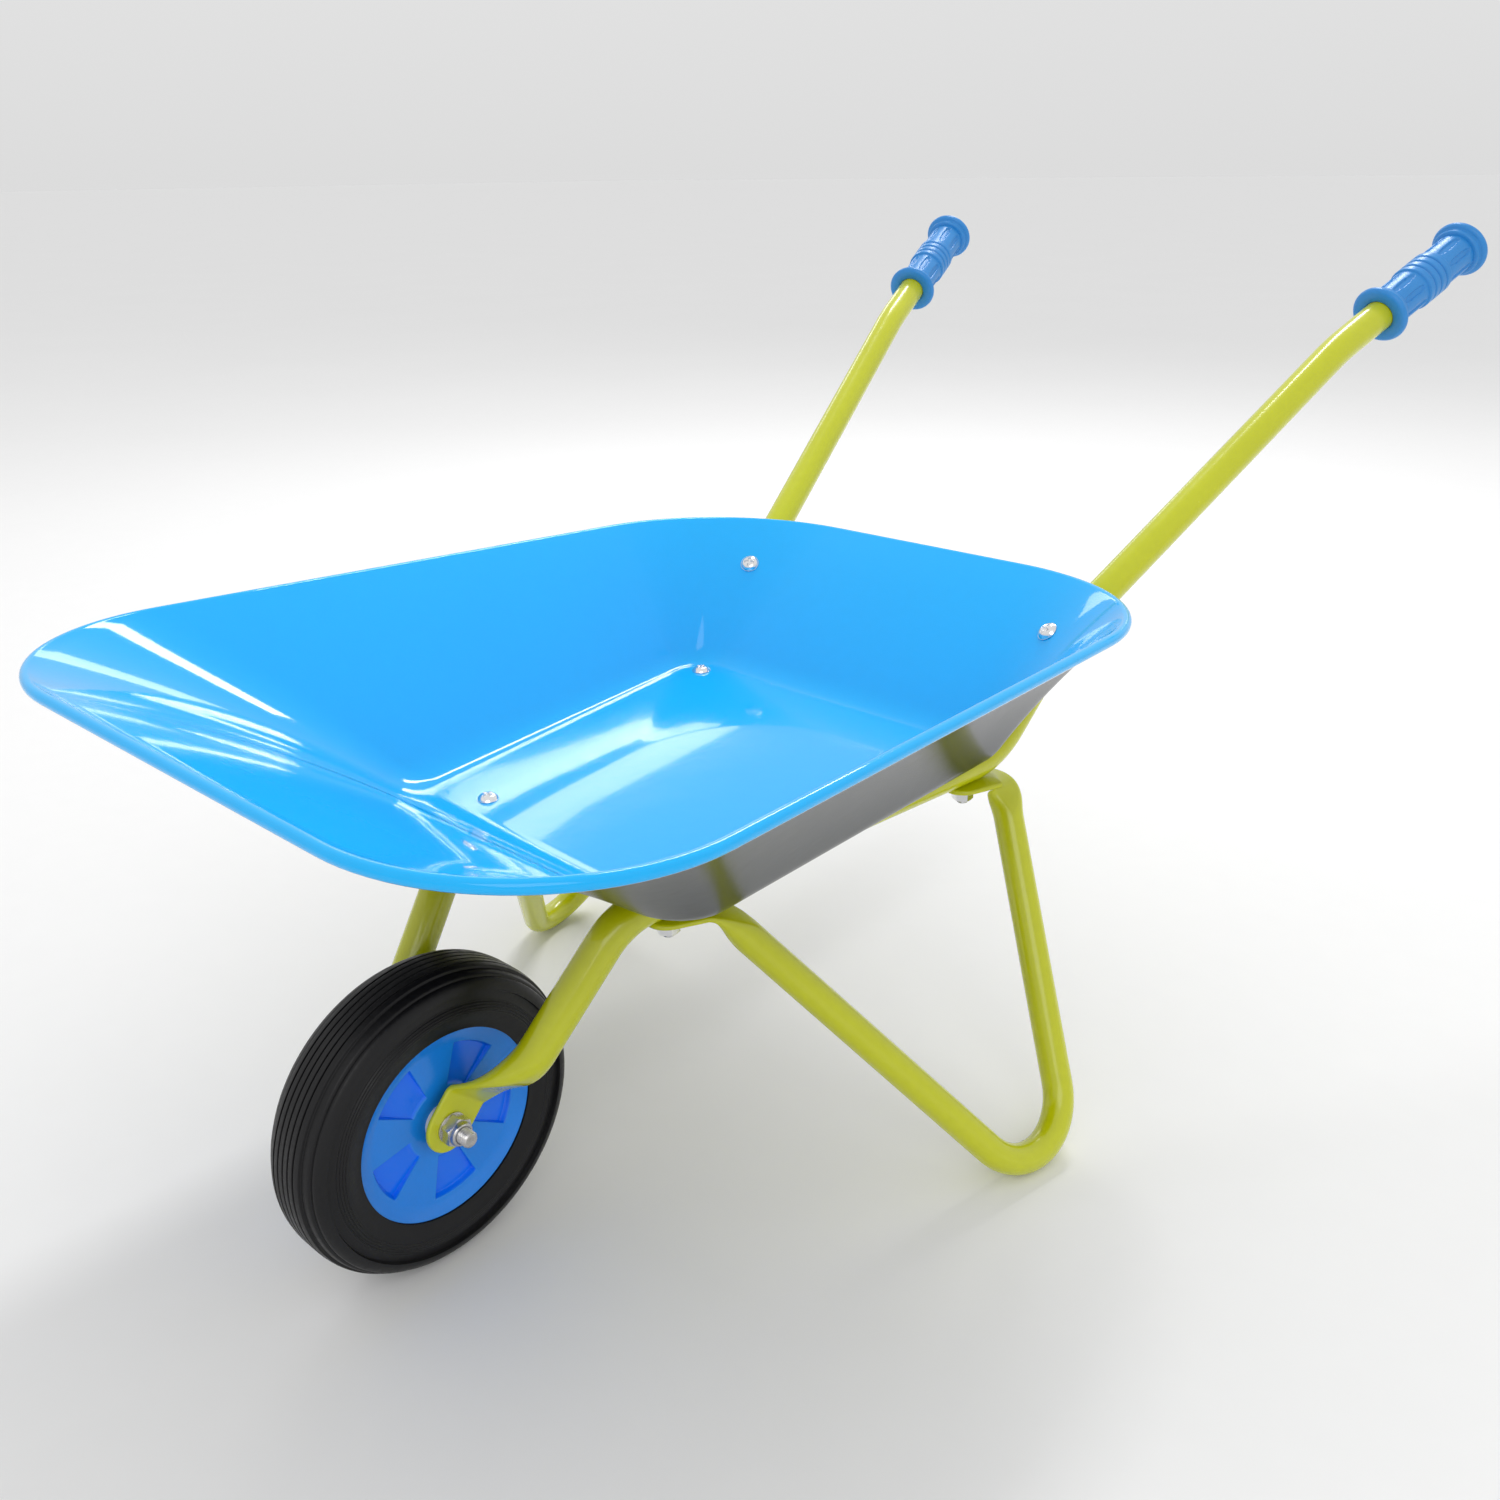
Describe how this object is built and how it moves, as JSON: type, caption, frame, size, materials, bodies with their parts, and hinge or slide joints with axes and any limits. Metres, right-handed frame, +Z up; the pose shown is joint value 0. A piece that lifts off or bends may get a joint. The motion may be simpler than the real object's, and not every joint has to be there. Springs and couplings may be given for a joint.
{
  "type": "wheelbarrow",
  "caption": "Small wheelbarrow with a flared pressed steel tray on two bent tubes, V-shaped legs, a rubber-tyred wheel on a through axle and ribbed plastic hand grips.",
  "frame": {"origin": "on the ground, in the middle of the barrow's width and halfway along its length", "axes": "+Y runs from the wheel back to the handles, +X to the pusher's left, +Z up; the wheel and both feet stand on z = 0"},
  "size_m": [0.4018, 0.7904, 0.4449],
  "materials": {
    "blue_enamel": "gloss",
    "lime_enamel": "gloss",
    "grip_plastic": "satin",
    "tyre_rubber": "satin",
    "hub_plastic": "gloss",
    "bush_nylon": "satin",
    "zinc_steel": "satin",
    "bolt_chrome": "polished"
  },
  "bodies": {
    "frame": {"tray": "blue_enamel", "main_tube_left": "lime_enamel", "main_tube_right": "lime_enamel", "leg_left": "lime_enamel", "leg_right": "lime_enamel", "grip_left": "grip_plastic", "grip_right": "grip_plastic", "axle": "zinc_steel", "axle_spacer_left": "zinc_steel", "axle_spacer_right": "zinc_steel", "axle_washer_left": "zinc_steel", "axle_washer_right": "zinc_steel", "axle_nut_left": "zinc_steel", "axle_nut_right": "zinc_steel", "front_floor_bolts": "bolt_chrome", "front_floor_washers": "bolt_chrome", "front_floor_nuts": "bolt_chrome", "rear_floor_bolts": "bolt_chrome", "rear_floor_washers": "bolt_chrome", "rear_floor_nuts": "bolt_chrome", "wall_bolts": "bolt_chrome", "wall_washers": "bolt_chrome", "wall_nuts": "bolt_chrome"},
    "wheel": {"tyre": "tyre_rubber", "wheel_hub": "hub_plastic", "hub_bush_left": "bush_nylon", "hub_bush_right": "bush_nylon"}
  },
  "joints": [
    {"name": "wheel_spin", "type": "hinge", "parent": "frame", "child": "wheel", "pos_m": [0, -0.29541, 0.076], "axis": [1, 0, 0], "continuous": true}
  ]
}
